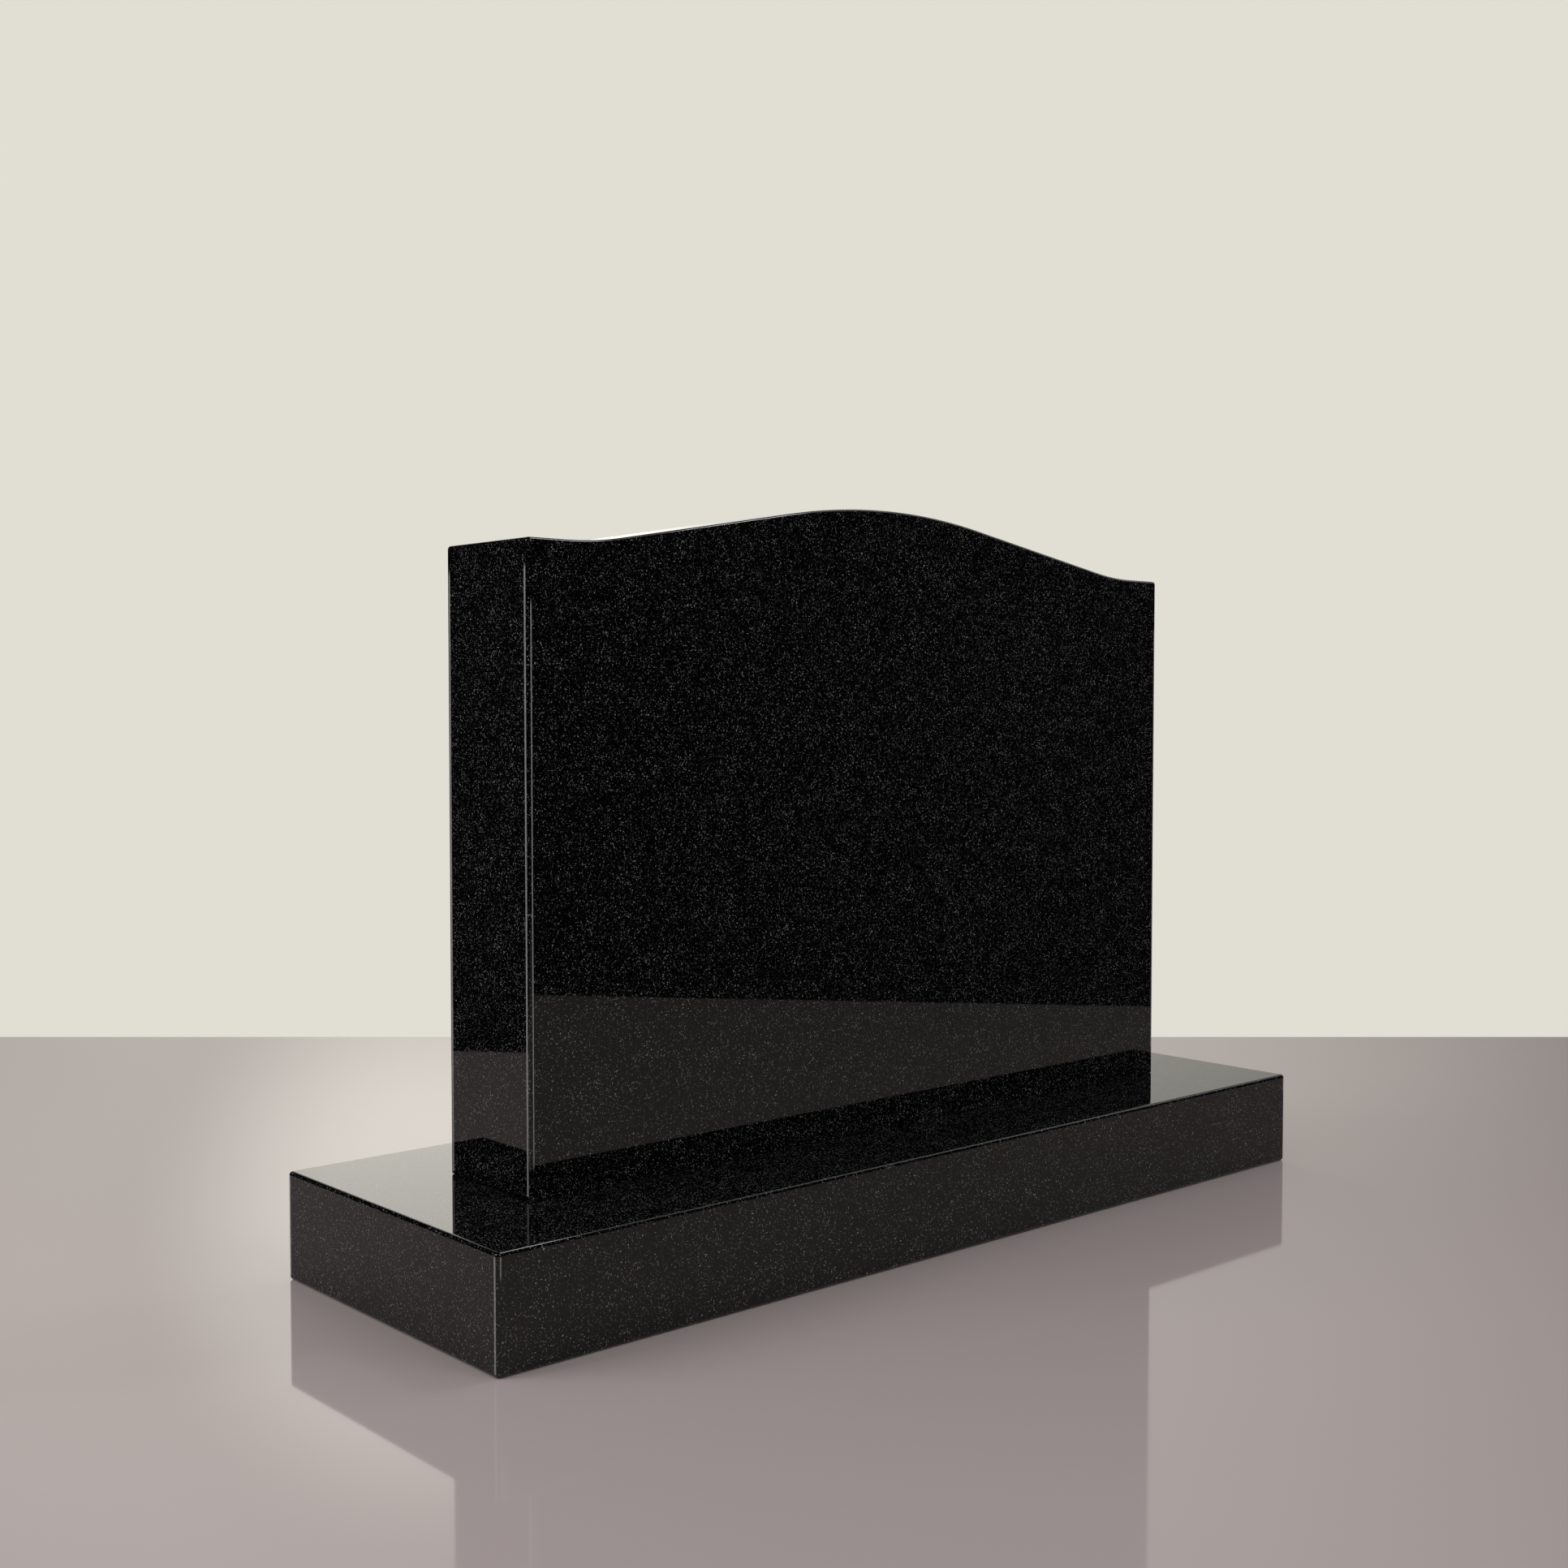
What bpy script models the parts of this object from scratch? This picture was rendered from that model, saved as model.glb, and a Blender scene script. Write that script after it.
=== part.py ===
"""A headstone: an upright slab of polished granite with an ogee top, on a rectangular base slab.

Run it with: blender --background --python part.py
Lengths are in metres and +Z is up. +X runs along the width, and the front faces -Y.
The origin is on the ground, under the middle of the base.
"""

import math

import bmesh
import bpy

# Base slab, which lies flat on the ground
BASE_LENGTH = 1.052
BASE_DEPTH = 0.341
BASE_THICKNESS = 0.098
BASE_ARRIS = 0.0035

# Upright stone, bedded in the middle of the base
STONE_WIDTH = 0.846
STONE_THICKNESS = 0.127
STONE_ARRIS = 0.0035
BED_GAP = 0.0003

# Its ogee top: a flat shoulder, a hollow, a straight slope and a crown on each side
SHOULDER_HEIGHT = 0.557
CROWN_RISE = 0.050
SHOULDER_FLAT = 0.042
HOLLOW_RADIUS = 0.340
CROWN_RADIUS = 0.742

# How finely round shapes are cut into flats
ARRIS_FLATS = 4
ARC_FLATS = 6
SHARP_ANGLE = math.radians(30)
WELD_DISTANCE = 0.00001
FLAT_WITHIN = math.radians(0.05)

GRANITE_COLOUR = (0.004, 0.004, 0.0045, 1.0)
POLISHED_ROUGHNESS = 0.06


def clear_scene():
    for obj in list(bpy.data.objects):
        bpy.data.objects.remove(obj, do_unlink=True)


def new_collection(name):
    collection = bpy.data.collections.new(name)
    bpy.context.scene.collection.children.link(collection)
    return collection


def put_in(collection, obj):
    """Moves an object out of every other collection and into this one."""
    for other in list(obj.users_collection):
        other.objects.unlink(obj)
    collection.objects.link(obj)


def polished_granite(name):
    material = bpy.data.materials.new(name)
    material.use_nodes = True
    shader = material.node_tree.nodes["Principled BSDF"]
    shader.inputs["Base Color"].default_value = GRANITE_COLOUR
    shader.inputs["Roughness"].default_value = POLISHED_ROUGHNESS
    shader.inputs["Metallic"].default_value = 0.0
    return material


def arc_points(centre, radius, start, end):
    """Points from angle start to angle end, both ends included."""
    points = []
    for step in range(ARC_FLATS + 1):
        angle = start + (end - start) * step / ARC_FLATS
        points.append((centre[0] + radius * math.cos(angle), centre[1] + radius * math.sin(angle)))
    return points


def curve_radii(run):
    """Radii of the hollow and the crown, both smaller where a full size leaves no room for the slope."""
    room = (run ** 2 + CROWN_RISE ** 2) / (2 * CROWN_RISE)
    share = min(1.0, room / (HOLLOW_RADIUS + CROWN_RADIUS))
    return HOLLOW_RADIUS * share, CROWN_RADIUS * share


def slope_angle(run, radii):
    """Angle of the straight slope that is tangent to both the hollow and the crown."""
    rise_left = radii - CROWN_RISE
    straight = math.sqrt(max(run ** 2 + rise_left ** 2 - radii ** 2, 0.0))
    return math.atan2(radii, straight) - math.atan2(rise_left, run)


def half_top():
    """The top from the shoulder's outer corner to the crown, on the +X side, measured from the stone's foot."""
    shoulder_end = STONE_WIDTH / 2 - SHOULDER_FLAT
    hollow_radius, crown_radius = curve_radii(shoulder_end)
    slope = slope_angle(shoulder_end, hollow_radius + crown_radius)
    up = math.pi / 2
    hollow_centre = (shoulder_end, SHOULDER_HEIGHT + hollow_radius)
    crown_centre = (0.0, SHOULDER_HEIGHT + CROWN_RISE - crown_radius)
    hollow = arc_points(hollow_centre, hollow_radius, -up, -up - slope)
    crown = arc_points(crown_centre, crown_radius, up - slope, up)
    return [(STONE_WIDTH / 2, SHOULDER_HEIGHT)] + hollow + crown


def stone_outline():
    """The front outline, from the foot's left corner and round by the right."""
    right = half_top()
    left = [(-x, z) for x, z in reversed(right[:-1])]
    return [(-STONE_WIDTH / 2, 0.0), (STONE_WIDTH / 2, 0.0)] + right + left


def plate_from_outline(name, outline, thickness):
    """A mesh plate of this outline, in its own XY plane, with half its thickness on each side."""
    curve = bpy.data.curves.new(name + "_outline", "CURVE")
    curve.dimensions = "2D"
    curve.fill_mode = "BOTH"
    curve.extrude = thickness / 2
    spline = curve.splines.new("POLY")
    spline.points.add(len(outline) - 1)
    for point, (x, y) in zip(spline.points, outline):
        point.co = (x, y, 0.0, 1.0)
    spline.use_cyclic_u = True
    drawn = bpy.data.objects.new(name + "_outline", curve)
    bpy.context.scene.collection.objects.link(drawn)
    graph = bpy.context.evaluated_depsgraph_get()
    mesh = bpy.data.meshes.new_from_object(drawn.evaluated_get(graph))
    mesh.name = name
    bpy.data.objects.remove(drawn, do_unlink=True)
    bpy.data.curves.remove(curve)
    shape = bmesh.new()
    shape.from_mesh(mesh)
    bmesh.ops.remove_doubles(shape, verts=shape.verts, dist=WELD_DISTANCE)
    bmesh.ops.dissolve_limit(shape, angle_limit=FLAT_WITHIN, verts=shape.verts, edges=shape.edges)
    bmesh.ops.recalc_face_normals(shape, faces=shape.faces)
    shape.to_mesh(mesh)
    shape.free()
    return bpy.data.objects.new(name, mesh)


def mark_arrises(obj, left_square):
    """Marks the sharp edges that are rounded, apart from those that left_square picks by their two ends."""
    shape = bmesh.new()
    shape.from_mesh(obj.data)
    weight = shape.edges.layers.float.new("bevel_weight_edge")
    for edge in shape.edges:
        ends = [vertex.co for vertex in edge.verts]
        sharp = edge.calc_face_angle() > SHARP_ANGLE
        edge[weight] = 1.0 if sharp and not left_square(*ends) else 0.0
    shape.to_mesh(obj.data)
    shape.free()


def round_arrises(obj, radius):
    bevel = obj.modifiers.new("arris", "BEVEL")
    bevel.limit_method = "WEIGHT"
    bevel.width = radius
    bevel.segments = ARRIS_FLATS
    obj.data.shade_smooth()
    obj.data.set_sharp_from_angle(angle=SHARP_ANGLE)


def make_base(collection):
    """The base slab, with every arris rounded, the ones against the ground too."""
    bpy.ops.mesh.primitive_cube_add(size=1.0, location=(0.0, 0.0, BASE_THICKNESS / 2))
    base = bpy.context.object
    base.name = "base"
    base.data.name = "base"
    base.scale = (BASE_LENGTH, BASE_DEPTH, BASE_THICKNESS)
    bpy.ops.object.transform_apply(location=False, rotation=False, scale=True)
    put_in(collection, base)
    mark_arrises(base, lambda start, end: False)
    round_arrises(base, BASE_ARRIS)
    base.data.materials.append(polished_granite("polished black granite, base"))
    return base


def make_headstone(collection):
    """The upright stone. Its outline is drawn flat and stood up, and its foot stays square for the joint."""
    stone = plate_from_outline("headstone", stone_outline(), STONE_THICKNESS)
    collection.objects.link(stone)
    stone.location = (0.0, 0.0, BASE_THICKNESS + BED_GAP)
    stone.rotation_euler = (math.pi / 2, 0.0, 0.0)
    mark_arrises(stone, lambda start, end: max(start.y, end.y) < WELD_DISTANCE)
    round_arrises(stone, STONE_ARRIS)
    stone.data.materials.append(polished_granite("polished black granite, headstone"))
    return stone


def main():
    clear_scene()
    collection = new_collection("headstone memorial")
    make_base(collection)
    make_headstone(collection)


main()
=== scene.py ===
"""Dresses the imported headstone: an upright slab of polished black granite on a rectangular base slab.

Lengths are in metres and +Z is up. The front faces -Y, and the origin is on the ground under the base.
Both stones are modelled again with finer arrises and a smooth ogee top, inside the frame's own boxes.
"""

import math

import bpy
from mathutils import Matrix, Vector


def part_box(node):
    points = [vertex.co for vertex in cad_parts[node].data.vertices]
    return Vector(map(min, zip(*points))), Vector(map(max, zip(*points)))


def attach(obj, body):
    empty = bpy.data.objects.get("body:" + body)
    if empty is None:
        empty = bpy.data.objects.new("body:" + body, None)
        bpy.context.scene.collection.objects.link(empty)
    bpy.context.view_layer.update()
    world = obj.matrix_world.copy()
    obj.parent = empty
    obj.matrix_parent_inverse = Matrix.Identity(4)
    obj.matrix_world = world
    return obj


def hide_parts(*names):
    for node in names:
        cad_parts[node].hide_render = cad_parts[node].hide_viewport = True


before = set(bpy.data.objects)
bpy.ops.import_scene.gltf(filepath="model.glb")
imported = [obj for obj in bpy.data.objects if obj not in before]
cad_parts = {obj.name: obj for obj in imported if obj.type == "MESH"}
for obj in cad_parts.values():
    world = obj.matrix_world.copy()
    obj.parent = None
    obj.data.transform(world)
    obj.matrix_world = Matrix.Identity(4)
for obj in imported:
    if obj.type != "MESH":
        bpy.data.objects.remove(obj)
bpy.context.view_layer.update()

base_low, base_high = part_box("base")
stone_low, stone_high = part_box("headstone")

MM = 0.001

# The ogee top, on each side of the middle: a flat shoulder, a hollow, a straight slope and half the crown
SHOULDER_FLAT = 42 * MM
HOLLOW_RADIUS = 340 * MM
CROWN_RADIUS = 742 * MM
CROWN_RISE = 50 * MM
HOLLOW_STEPS = 20
CROWN_STEPS = 44

# Rounded arrises
ARRIS_RADIUS = 3.5 * MM
ARRIS_STEPS = 12
SHARP_TURN = math.radians(30)
COPLANAR = math.radians(0.02)
TOUCHING = 0.05 * MM

# Honed lines along the upright arrises, rougher as real honing is, with a pale grey that is a painted
# highlight: how far they run on to the flat end and round the arris from it, and how far on to the flat front
# and round the arris from that
STONE_HIGHLIGHT_LINES = (2.3 * MM, math.radians(2), 0.2 * MM, math.radians(17))
BASE_HIGHLIGHT_LINES = (1.2 * MM, math.radians(15), 0.2 * MM, math.radians(17))
HIGHLIGHT_LINE_FADE = 8 * MM

# Where the painted highlight lines end and fade into polish: above the foot and above the shoulder on the
# stone, to each side of the top on the base
STONE_END_HIGHLIGHT_STRETCH = (-20 * MM, -20 * MM)
STONE_FRONT_HIGHLIGHT_STRETCH = (25 * MM, -50 * MM)
BASE_FRONT_HIGHLIGHT_STRETCH = 24 * MM

# How far from level the normal of an upright face may be, and how far down that of the underside points
UPRIGHT_WITHIN = 0.02
DOWNWARD = -0.99

# Grain of the granite. Each layer of laths has a spacing, a length, a width, and how rare bright ones are
LATH_LAYERS = ((1.4 * MM, 2.0 * MM, 0.7 * MM, 5.8), (1.8 * MM, 2.6 * MM, 0.75 * MM, 8.0),
               (3.6 * MM, 2.2 * MM, 1.1 * MM, 3.4))
CLUSTER_SIZE = 22 * MM
CRYSTAL_SIZE = 1.0 * MM
PIT_SIZE = 0.6 * MM
PIT_DEPTH = 0.1 * MM
GRANITE_IOR = 1.55

# Saw marks on the underside. The wave texture turns by this many radians in a metre at a scale of 1
SAW_PITCH = 37.7 * MM
WAVE_RADIANS = 20

# Finishes of the granite. Polished it is nearly black and mirror-like, ground or sawn it is grey and dull.
# The honed finish's rougher surface is real, and its pale grey paints the highlight lines on the upright
# arrises
CRYSTAL_CONTRAST = 2.6
POLISHED = {"dark": "010101", "light": "101010", "warm_lath": "b6b0a9", "cool_lath": "a9b0b7",
            "gloss": 0.02, "lath_gloss": 0.04, "relief": 0.0, "sawn": False}
HONED_PAINTED_HIGHLIGHT = {"dark": "7d7d7c", "light": "9c9c9a", "warm_lath": "bdb7ae", "cool_lath": "b3b7ba",
         "gloss": 0.30, "lath_gloss": 0.38, "relief": 0.15, "sawn": False}
SAWN = {"dark": "3c3c3c", "light": "565655", "warm_lath": "8e8a83", "cool_lath": "86898c",
        "gloss": 0.60, "lath_gloss": 0.65, "relief": 0.6, "sawn": True}

# Studio floor, square to the camera
FLOOR_HALF_WIDTH = 1.46
FLOOR_BEHIND = 1.02
FLOOR_IN_FRONT = 3.0
FLOOR_COLOUR = "c0b3b2"
FLOOR_ROUGHNESS = 0.05
LACQUER_IOR = 1.5

# Glowing card behind the stone, with a brighter spot on it. Both glows have a middle, a reach and a strength,
# and are even over this share of their reach
BACKDROP_COLOUR = "e1ded4"
GLOW_DISTANCE = 3.2
GLOW_WIDTH = 9.0
GLOW_HEIGHT = 5.0
GLOW_MIDDLE = (-0.6, 1.0)
GLOW_REACH = (3.8, 3.4)
GLOW_STRENGTH = 0.95
SPOT_MIDDLE = (-1.0, 1.0)
SPOT_REACH = (0.9, 0.9)
SPOT_STRENGTH = 1.25
GLOW_EVEN = 0.3

# The world's light on rough surfaces, and what mirrors see of it
SOFT_LIGHT = 0.45
MIRRORED_COLOUR = "2c2c2e"
MIRRORED_LIGHT = 0.25

# Camera, in the square 1932 pixel frame of the photograph
PICTURE_WIDTH = 1932
SENSOR_WIDTH = 36.0
FOCAL_PIXELS = 2309.04
CAMERA_PLACE = (-1.30008, -1.37003, 0.51271)
CAMERA_AZIMUTH = 0.726697
CAMERA_DIP = 0.040376


def colour(code):
    """Linear red, green, blue and alpha of an sRGB hex code."""
    linear = []
    for place in (0, 2, 4):
        value = int(code[place:place + 2], 16) / 255
        linear.append(value / 12.92 if value <= 0.04045 else ((value + 0.055) / 1.055) ** 2.4)
    return (*linear, 1.0)


def add_node(tree, kind, settings=None, inputs=None, links=None):
    """Adds a node, sets its properties and input values, and links other nodes' outputs into it."""
    node = tree.nodes.new(kind)
    for name, value in (settings or {}).items():
        setattr(node, name, value)
    for name, value in (inputs or {}).items():
        node.inputs[name].default_value = value
    for name, output in (links or {}).items():
        tree.links.new(output, node.inputs[name])
    return node


def layer_of_laths(tree, place, number, spacing, length, width, rarity):
    """One layer of feldspar laths: in each cell of a cloud of seeds, a short rod turned at random.

    A flat cut through such rods shows anything from a dot to a whole lath, as a sawn face does.
    """
    shifted = add_node(tree, "ShaderNodeVectorMath", {"operation": "ADD"},
                       {1: (0.37 * number, 0.61 * number, 0.83 * number)}, {0: place})
    seeds = add_node(tree, "ShaderNodeTexVoronoi", {"feature": "F1"},
                     {"Scale": 1 / spacing, "Randomness": 1.0}, {"Vector": shifted.outputs[0]})
    offset = add_node(tree, "ShaderNodeVectorMath", {"operation": "SUBTRACT"},
                      links={0: shifted.outputs[0], 1: seeds.outputs["Position"]})
    turn = add_node(tree, "ShaderNodeVectorMath", {"operation": "SCALE"},
                    {"Scale": 2 * math.pi}, {0: seeds.outputs["Color"]})
    along = add_node(tree, "ShaderNodeVectorRotate", {"rotation_type": "EULER_XYZ"},
                     links={"Vector": offset.outputs[0], "Rotation": turn.outputs[0]})
    shrunk = add_node(tree, "ShaderNodeVectorMath", {"operation": "MULTIPLY"},
                      {1: (2 / length, 2 / width, 2 / width)}, {0: along.outputs[0]})
    reach = add_node(tree, "ShaderNodeVectorMath", {"operation": "LENGTH"}, links={0: shrunk.outputs[0]})
    rod = add_node(tree, "ShaderNodeMapRange", {"interpolation_type": "SMOOTHSTEP"},
                   {"From Min": 1.15, "From Max": 0.6, "To Min": 0.0, "To Max": 1.0},
                   {"Value": reach.outputs["Value"]})
    parts = add_node(tree, "ShaderNodeSeparateColor", links={"Color": seeds.outputs["Color"]})
    light = add_node(tree, "ShaderNodeMath", {"operation": "POWER"}, {1: rarity}, {0: parts.outputs["Blue"]})
    return add_node(tree, "ShaderNodeMath", {"operation": "MULTIPLY"},
                    links={0: rod.outputs["Result"], 1: light.outputs[0]}).outputs[0]


def mix_colours(tree, factor, first, second):
    """One colour turning into another. Each of the two is a hex code or another node's output."""
    mixed = add_node(tree, "ShaderNodeMix", {"data_type": "RGBA"}, links={"Factor": factor})
    for socket, value in (("A", first), ("B", second)):
        if isinstance(value, str):
            mixed.inputs[socket].default_value = colour(value)
        else:
            tree.links.new(value, mixed.inputs[socket])
    return mixed.outputs["Result"]


def laths_of(tree, tones, finish):
    """Colour of the laths in this finish: some feldspar is a little warm and some a little cool."""
    return mix_colours(tree, tones.outputs["Green"], finish["warm_lath"], finish["cool_lath"])


def granite(name, finish, stretch=None):
    """Fine-grained black granite: dark crystals of uneven tone with short pale laths, clustered in places.

    With a stretch, a low and a high height, the finish fades into the polished one at each of the two, where
    a painted highlight line ends.
    """
    material = bpy.data.materials.new(name)
    material.use_nodes = True
    tree = material.node_tree
    tree.nodes.clear()
    place = add_node(tree, "ShaderNodeTexCoord").outputs["Object"]
    laths = layer_of_laths(tree, place, 0, *LATH_LAYERS[0])
    for number, sizes in enumerate(LATH_LAYERS[1:], 1):
        laths = add_node(tree, "ShaderNodeMath", {"operation": "MAXIMUM"},
                         links={0: laths, 1: layer_of_laths(tree, place, number, *sizes)}).outputs[0]
    clusters = add_node(tree, "ShaderNodeTexNoise", {"noise_dimensions": "3D"},
                        {"Scale": 1 / CLUSTER_SIZE, "Detail": 3.0, "Roughness": 0.6}, {"Vector": place})
    thick = add_node(tree, "ShaderNodeMapRange", {},
                     {"From Min": 0.30, "From Max": 0.70, "To Min": 0.35, "To Max": 1.0},
                     {"Value": clusters.outputs["Fac"]})
    shown = add_node(tree, "ShaderNodeMath", {"operation": "MULTIPLY"},
                     links={0: laths, 1: thick.outputs["Result"]}).outputs[0]
    crystals = add_node(tree, "ShaderNodeTexVoronoi", {"feature": "F1"},
                        {"Scale": 1 / CRYSTAL_SIZE, "Randomness": 1.0}, {"Vector": place})
    tones = add_node(tree, "ShaderNodeSeparateColor", links={"Color": crystals.outputs["Color"]})
    uneven = add_node(tree, "ShaderNodeMath", {"operation": "POWER"}, {1: CRYSTAL_CONTRAST},
                      {0: tones.outputs["Red"]})
    light = add_node(tree, "ShaderNodeMath", {"operation": "MULTIPLY"},
                     links={0: uneven.outputs[0], 1: thick.outputs["Result"]}).outputs[0]
    tint = mix_colours(tree, shown, mix_colours(tree, light, finish["dark"], finish["light"]),
                       laths_of(tree, tones, finish))
    sheen = add_node(tree, "ShaderNodeMapRange", {},
                     {"To Min": finish["gloss"], "To Max": finish["lath_gloss"]}, {"Value": shown})
    gloss = sheen.outputs["Result"]
    pits = add_node(tree, "ShaderNodeTexNoise", {"noise_dimensions": "3D"},
                    {"Scale": 1 / PIT_SIZE, "Detail": 1.0}, {"Vector": place})
    relief = pits.outputs["Fac"]
    if stretch:
        body = mix_colours(tree, light, POLISHED["dark"], POLISHED["light"])
        parts = add_node(tree, "ShaderNodeSeparateXYZ", links={"Vector": place})
        above = add_node(tree, "ShaderNodeMath", {"operation": "SUBTRACT"}, {1: sum(stretch) / 2},
                         {0: parts.outputs["Z"]})
        away = add_node(tree, "ShaderNodeMath", {"operation": "ABSOLUTE"}, links={0: above.outputs[0]})
        half = (stretch[1] - stretch[0]) / 2
        outside = add_node(tree, "ShaderNodeMapRange", {"interpolation_type": "SMOOTHSTEP"},
                           {"From Min": half - HIGHLIGHT_LINE_FADE, "From Max": half},
                           {"Value": away.outputs[0]}).outputs["Result"]
        plain = mix_colours(tree, shown, body, laths_of(tree, tones, POLISHED))
        tint = mix_colours(tree, outside, tint, plain)
        gloss = add_node(tree, "ShaderNodeMix", {}, {"B": POLISHED["gloss"]},
                         {"Factor": outside, "A": gloss}).outputs["Result"]
    if finish["sawn"]:
        marks = add_node(tree, "ShaderNodeTexWave", {"wave_type": "BANDS", "bands_direction": "X"},
                         {"Scale": 2 * math.pi / WAVE_RADIANS / SAW_PITCH, "Distortion": 1.2, "Detail": 2.0},
                         {"Vector": place})
        tint = mix_colours(tree, marks.outputs["Fac"], tint, finish["light"])
        relief = add_node(tree, "ShaderNodeMath", {"operation": "ADD"},
                          links={0: relief, 1: marks.outputs["Fac"]}).outputs[0]
    bump = add_node(tree, "ShaderNodeBump", {}, {"Strength": finish["relief"], "Distance": PIT_DEPTH},
                    {"Height": relief})
    shader = add_node(tree, "ShaderNodeBsdfPrincipled", {}, {"IOR": GRANITE_IOR, "Metallic": 0.0},
                      {"Base Color": tint, "Roughness": gloss, "Normal": bump.outputs["Normal"]})
    add_node(tree, "ShaderNodeOutputMaterial", links={"Surface": shader.outputs["BSDF"]})
    return material


def edit_nothing_selected(obj):
    """Makes this the only selected object, with nothing selected in its mesh, and stays in object mode."""
    bpy.ops.object.select_all(action="DESELECT")
    obj.select_set(True)
    bpy.context.view_layer.objects.active = obj
    bpy.ops.object.mode_set(mode="EDIT")
    bpy.ops.mesh.select_all(action="DESELECT")
    bpy.ops.object.mode_set(mode="OBJECT")


def choose_edges(obj, wanted):
    """Selects the edges of which the two ends pass a test, and goes to edit mode."""
    edit_nothing_selected(obj)
    points = obj.data.vertices
    for edge in obj.data.edges:
        ends = [points[number].co for number in edge.vertices]
        edge.select = wanted(*ends)
    bpy.ops.object.mode_set(mode="EDIT")
    bpy.ops.mesh.select_mode(type="EDGE")


def end_of_ribbon(obj):
    """Selects the ribbon's edge that is nearest the middle of the stone."""
    nearest = min(vertex.co.x for vertex in obj.data.vertices)
    choose_edges(obj, lambda start, end: max(start.x, end.x) < nearest + TOUCHING)


def slope_of_ogee(run):
    """Angle of the straight slope that is tangent to both the hollow and the crown."""
    radii = HOLLOW_RADIUS + CROWN_RADIUS
    rise_left = radii - CROWN_RISE
    return math.asin(radii / math.hypot(run, rise_left)) - math.atan2(rise_left, run)


def finish_faces(obj):
    """Flat faces stay true flats for their reflections, and the arrises run smoothly into them."""
    bpy.ops.object.mode_set(mode="OBJECT")
    bpy.ops.object.select_all(action="DESELECT")
    obj.select_set(True)
    bpy.context.view_layer.objects.active = obj
    bpy.ops.object.mode_set(mode="EDIT")
    bpy.ops.mesh.select_all(action="SELECT")
    bpy.ops.mesh.normals_make_consistent(inside=False)
    bpy.ops.object.mode_set(mode="OBJECT")
    bpy.ops.object.shade_smooth_by_angle(angle=SHARP_TURN)
    flats = obj.modifiers.new("flats stay flat", "WEIGHTED_NORMAL")
    flats.keep_sharp = True
    flats.weight = 100
    bpy.ops.object.modifier_apply(modifier=flats.name)


def cut_all_round(obj, point, normal):
    """Cuts a new row of edges where this plane meets the mesh."""
    edit_nothing_selected(obj)
    bpy.ops.object.mode_set(mode="EDIT")
    bpy.ops.mesh.select_all(action="SELECT")
    bpy.ops.mesh.bisect(plane_co=point, plane_no=normal)
    bpy.ops.object.mode_set(mode="OBJECT")


def hone_upright_highlight_lines(obj, half_width, half_depth, lines):
    """Puts the second and third material, honed and pale as a painted highlight, on a narrow line to each
    side of every upright arris.
    """
    on_end, round_end, on_front, round_front = lines
    past_front = half_width - ARRIS_RADIUS - on_front
    past_end = half_depth - ARRIS_RADIUS - on_end
    for side in (-1, 1):
        cut_all_round(obj, (side * past_front, 0, 0), (1, 0, 0))
        cut_all_round(obj, (0, side * past_end, 0), (0, 1, 0))
    for face in obj.data.polygons:
        if abs(face.normal.z) > UPRIGHT_WITHIN:
            continue
        from_end = math.atan2(abs(face.normal.y), abs(face.normal.x))
        from_front = math.pi / 2 - from_end
        if from_end < round_end and abs(face.center.y) > past_end:
            face.material_index = 1
        if from_front < round_front and abs(face.center.x) > past_front:
            face.material_index = 2


def finish_in_granite(obj, extent, lines, end_line, front_line):
    """Polished all over, with honed lines on the upright arrises whose pale grey is a painted highlight, and
    the underside left as it was sawn.
    """
    for material in (polished, end_line, front_line, sawn):
        obj.data.materials.append(material)
    hone_upright_highlight_lines(obj, extent.x / 2, extent.y / 2, lines)
    for face in obj.data.polygons:
        if face.normal.z < DOWNWARD:
            face.material_index = 3
    finish_faces(obj)


def make_base():
    """The base slab: a block with every arris rounded, the ones against the ground too."""
    middle = (Vector(base_low) + Vector(base_high)) / 2
    extent = Vector(base_high) - Vector(base_low)
    bpy.ops.object.select_all(action="DESELECT")
    bpy.ops.mesh.primitive_cube_add(size=1.0, location=middle, scale=extent)
    base = bpy.context.object
    base.name = "base_slab"
    bpy.ops.object.transform_apply(location=True, rotation=True, scale=True)
    choose_edges(base, lambda start, end: True)
    bpy.ops.mesh.bevel(offset=ARRIS_RADIUS, segments=ARRIS_STEPS, profile=0.5, affect="EDGES")
    bpy.ops.object.mode_set(mode="OBJECT")
    # Painted highlight lines on the base's upright arrises: pale honed grey, the front ones only near the top
    top = base_high[2]
    front_stretch = (top - BASE_FRONT_HIGHLIGHT_STRETCH, top + BASE_FRONT_HIGHLIGHT_STRETCH)
    finish_in_granite(base, extent, BASE_HIGHLIGHT_LINES, granite("honed black granite painted as highlight, base ends", HONED_PAINTED_HIGHLIGHT),
                      granite("honed black granite painted as highlight, base front", HONED_PAINTED_HIGHLIGHT, front_stretch))
    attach(base, "root")
    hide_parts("base")


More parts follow.
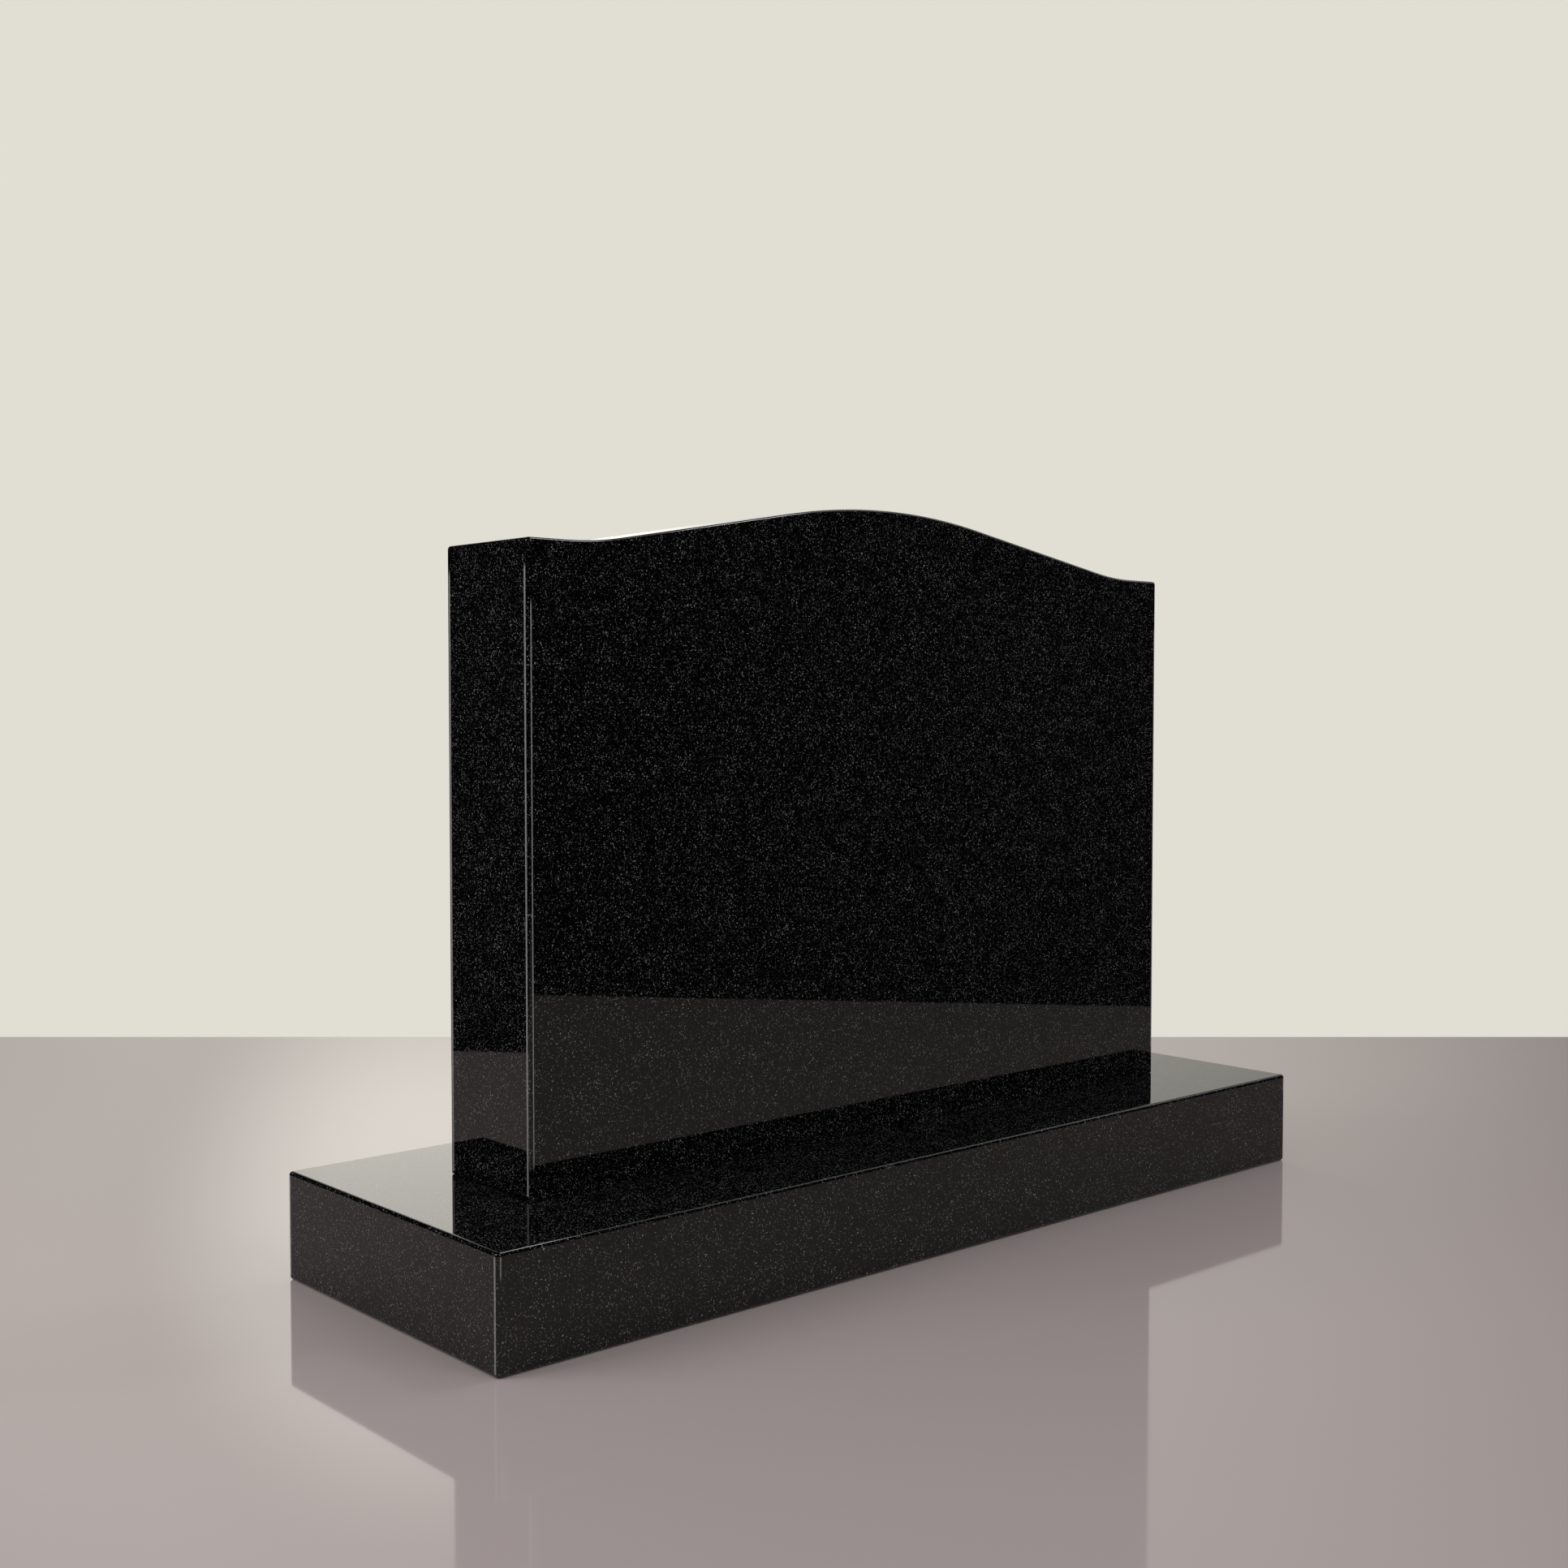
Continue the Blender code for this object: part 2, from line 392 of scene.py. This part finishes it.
def make_headstone():
    """The upright stone: a ribbon along half the ogee, mirrored, pulled down and levelled at the foot."""
    extent = Vector(stone_high) - Vector(stone_low)
    width, thickness = extent.x, extent.y
    foot = stone_low[2]
    crown_top = stone_high[2]
    shoulder = crown_top - CROWN_RISE
    shoulder_end = width / 2 - SHOULDER_FLAT
    slope = slope_of_ogee(shoulder_end)
    straight = math.sqrt(shoulder_end ** 2 + (HOLLOW_RADIUS + CROWN_RADIUS - CROWN_RISE) ** 2
                         - (HOLLOW_RADIUS + CROWN_RADIUS) ** 2)
    bpy.ops.object.select_all(action="DESELECT")
    bpy.ops.mesh.primitive_plane_add(size=1.0, location=(shoulder_end + SHOULDER_FLAT / 2, 0, shoulder))
    stone = bpy.context.object
    stone.name = "upright_stone"
    stone.scale = (SHOULDER_FLAT, thickness, 1)
    bpy.ops.object.transform_apply(location=True, rotation=True, scale=True)
    end_of_ribbon(stone)
    bpy.ops.mesh.spin(steps=HOLLOW_STEPS, angle=-slope, axis=(0, 1, 0),
                      center=(shoulder_end, 0, shoulder + HOLLOW_RADIUS))
    bpy.ops.object.mode_set(mode="OBJECT")
    end_of_ribbon(stone)
    bpy.ops.mesh.extrude_region_move(TRANSFORM_OT_translate={
        "value": (-straight * math.cos(slope), 0, straight * math.sin(slope))})
    bpy.ops.object.mode_set(mode="OBJECT")
    end_of_ribbon(stone)
    bpy.ops.mesh.spin(steps=CROWN_STEPS, angle=slope, axis=(0, 1, 0),
                      center=(0, 0, crown_top - CROWN_RADIUS))
    bpy.ops.object.mode_set(mode="OBJECT")
    mirror = stone.modifiers.new("other half", "MIRROR")
    mirror.merge_threshold = TOUCHING
    bpy.ops.object.modifier_apply(modifier=mirror.name)
    edit_nothing_selected(stone)
    bpy.ops.object.mode_set(mode="EDIT")
    bpy.ops.mesh.select_all(action="SELECT")
    bpy.ops.mesh.extrude_region_move(TRANSFORM_OT_translate={"value": (0, 0, foot - shoulder)})
    bpy.ops.transform.resize(value=(1, 1, 0), center_override=(0, 0, foot))
    bpy.ops.mesh.select_all(action="SELECT")
    bpy.ops.mesh.remove_doubles(threshold=TOUCHING)
    bpy.ops.mesh.normals_make_consistent(inside=False)
    bpy.ops.mesh.dissolve_limited(angle_limit=COPLANAR)
    bpy.ops.mesh.select_all(action="DESELECT")
    bpy.ops.mesh.edges_select_sharp(sharpness=SHARP_TURN)
    bpy.ops.object.mode_set(mode="OBJECT")
    points = stone.data.vertices
    for edge in stone.data.edges:
        if max(points[number].co.z for number in edge.vertices) < foot + TOUCHING:
            edge.select = False
    bpy.ops.object.mode_set(mode="EDIT")
    bpy.ops.mesh.bevel(offset=ARRIS_RADIUS, segments=ARRIS_STEPS, profile=0.5, affect="EDGES")
    bpy.ops.object.mode_set(mode="OBJECT")
    # Painted highlight lines on the stone's upright arrises: pale honed grey, ending at these heights
    end_stretch = (foot + STONE_END_HIGHLIGHT_STRETCH[0], shoulder + STONE_END_HIGHLIGHT_STRETCH[1])
    front_stretch = (foot + STONE_FRONT_HIGHLIGHT_STRETCH[0], shoulder + STONE_FRONT_HIGHLIGHT_STRETCH[1])
    finish_in_granite(stone, extent, STONE_HIGHLIGHT_LINES,
                      granite("honed black granite painted as highlight, stone ends", HONED_PAINTED_HIGHLIGHT, end_stretch),
                      granite("honed black granite painted as highlight, stone front", HONED_PAINTED_HIGHLIGHT, front_stretch))
    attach(stone, "root")
    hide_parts("headstone")


def make_floor():
    """A plain pale floor, square to the camera, that ends behind the stone as a studio table does."""
    bpy.ops.object.select_all(action="DESELECT")
    bpy.ops.mesh.primitive_plane_add(size=1.0)
    floor = bpy.context.object
    floor.name = "studio_floor"
    depth = FLOOR_BEHIND + FLOOR_IN_FRONT
    ahead = (FLOOR_BEHIND - FLOOR_IN_FRONT) / 2
    turned = Matrix.Rotation(-CAMERA_AZIMUTH, 4, "Z")
    stretched = Matrix.Diagonal((2 * FLOOR_HALF_WIDTH, depth, 1, 1))
    floor.data.transform(turned @ Matrix.Translation((0, ahead, 0)) @ stretched)
    material = bpy.data.materials.new("gloss lacquered board")
    material.use_nodes = True
    shader = material.node_tree.nodes["Principled BSDF"]
    shader.inputs["Base Color"].default_value = colour(FLOOR_COLOUR)
    shader.inputs["Roughness"].default_value = FLOOR_ROUGHNESS
    shader.inputs["IOR"].default_value = LACQUER_IOR
    floor.data.materials.append(material)


def round_glow(tree, place, middle, reach, strength):
    """Strength of a round glow: even near its middle, and fading to nothing at its reach."""
    offset = add_node(tree, "ShaderNodeVectorMath", {"operation": "SUBTRACT"}, {1: middle}, {0: place})
    shrunk = add_node(tree, "ShaderNodeVectorMath", {"operation": "MULTIPLY"},
                      {1: (1 / reach[0], 1 / reach[0], 1 / reach[1])}, {0: offset.outputs[0]})
    distance = add_node(tree, "ShaderNodeVectorMath", {"operation": "LENGTH"}, links={0: shrunk.outputs[0]})
    fade = add_node(tree, "ShaderNodeMapRange", {"interpolation_type": "SMOOTHSTEP"},
                    {"From Min": 1.0, "From Max": GLOW_EVEN, "To Min": 0.0, "To Max": strength},
                    {"Value": distance.outputs["Value"]})
    return fade.outputs["Result"]


def make_backdrop_glow():
    """A tall glowing card behind the stone that fades to nothing at its rim. Only reflections show it."""
    bpy.ops.object.select_all(action="DESELECT")
    bpy.ops.mesh.primitive_plane_add(size=1.0)
    card = bpy.context.object
    card.name = "backdrop_glow"
    upright = Matrix.Rotation(math.pi / 2, 4, "X")
    stretched = Matrix.Diagonal((GLOW_WIDTH, GLOW_HEIGHT, 1, 1))
    turned = Matrix.Rotation(-CAMERA_AZIMUTH, 4, "Z")
    behind = Matrix.Translation((0, GLOW_DISTANCE, GLOW_HEIGHT / 2))
    card.data.transform(turned @ behind @ upright @ stretched)
    material = bpy.data.materials.new("glowing white cloth")
    material.use_nodes = True
    tree = material.node_tree
    tree.nodes.clear()
    place = add_node(tree, "ShaderNodeTexCoord").outputs["Object"]
    levels = []
    for middle, reach, strength in ((GLOW_MIDDLE, GLOW_REACH, GLOW_STRENGTH),
                                    (SPOT_MIDDLE, SPOT_REACH, SPOT_STRENGTH)):
        on_card = turned @ Vector((middle[0], GLOW_DISTANCE, middle[1]))
        levels.append(round_glow(tree, place, on_card, reach, strength))
    total = add_node(tree, "ShaderNodeMath", {"operation": "ADD"}, links={0: levels[0], 1: levels[1]})
    glow = add_node(tree, "ShaderNodeEmission", {}, {"Color": colour(BACKDROP_COLOUR)},
                    {"Strength": total.outputs[0]})
    add_node(tree, "ShaderNodeOutputMaterial", links={"Surface": glow.outputs["Emission"]})
    card.data.materials.append(material)
    card.visible_camera = False


def add_softbox(name, azimuth, height, distance, aim_height, size, power):
    """A rectangular area light at an azimuth from +Y towards +X, aimed at a height above the origin."""
    data = bpy.data.lights.new(name, "AREA")
    data.shape = "RECTANGLE"
    data.size, data.size_y = size
    data.energy = power
    box = bpy.data.objects.new(name, data)
    bpy.context.scene.collection.objects.link(box)
    angle = math.radians(azimuth)
    box.location = (distance * math.sin(angle), distance * math.cos(angle), height)
    aim = Vector((0, 0, aim_height)) - box.location
    box.rotation_euler = aim.to_track_quat("-Z", "Y").to_euler()
    box.visible_camera = False


def make_lights():
    """The softboxes: each has an azimuth in degrees, a height, a distance, an aim, a size and its watts."""
    add_softbox("left_softbox", -72, 1.2, 2.1, 0.0, (1.2, 0.8), 14)
    add_softbox("front_softbox", 175, 1.8, 2.8, 0.3, (2.0, 1.2), 16)
    add_softbox("right_softbox", 95, 2.8, 2.1, 0.1, (1.6, 2.8), 11)
    add_softbox("corner_softbox", 108, 3.2, 1.445, 0.1, (0.3, 0.4), 4)


def make_world():
    """Pale to the camera, even and soft on rough surfaces, and dim in mirrors, so that polish is black."""
    world = bpy.data.worlds.new("studio")
    bpy.context.scene.world = world
    bpy.context.scene.view_settings.view_transform = "Standard"
    world.use_nodes = True
    tree = world.node_tree
    tree.nodes.clear()
    path = add_node(tree, "ShaderNodeLightPath")
    dim = add_node(tree, "ShaderNodeBackground", {},
                   {"Color": colour(MIRRORED_COLOUR), "Strength": MIRRORED_LIGHT})
    soft = add_node(tree, "ShaderNodeBackground", {}, {"Color": colour("ffffff"), "Strength": SOFT_LIGHT})
    pale = add_node(tree, "ShaderNodeBackground", {}, {"Color": colour(BACKDROP_COLOUR), "Strength": 1.0})
    unseen = add_node(tree, "ShaderNodeMixShader",
                      links={0: path.outputs["Is Glossy Ray"], 1: soft.outputs[0], 2: dim.outputs[0]})
    mixed = add_node(tree, "ShaderNodeMixShader",
                     links={0: path.outputs["Is Camera Ray"], 1: unseen.outputs[0], 2: pale.outputs[0]})
    add_node(tree, "ShaderNodeOutputWorld", links={"Surface": mixed.outputs[0]})


def make_camera():
    """The camera at the photograph's angle."""
    data = bpy.data.cameras.new("photo_view")
    data.sensor_width = SENSOR_WIDTH
    data.lens = FOCAL_PIXELS * SENSOR_WIDTH / PICTURE_WIDTH
    camera = bpy.data.objects.new("photo_view", data)
    bpy.context.scene.collection.objects.link(camera)
    camera.location = CAMERA_PLACE
    camera.rotation_euler = (math.pi / 2 - CAMERA_DIP, 0, -CAMERA_AZIMUTH)
    bpy.context.scene.camera = camera


polished = granite("polished black granite", POLISHED)
sawn = granite("sawn black granite", SAWN)
make_camera()
make_base()
make_headstone()
make_floor()
make_backdrop_glow()
make_world()
make_lights()
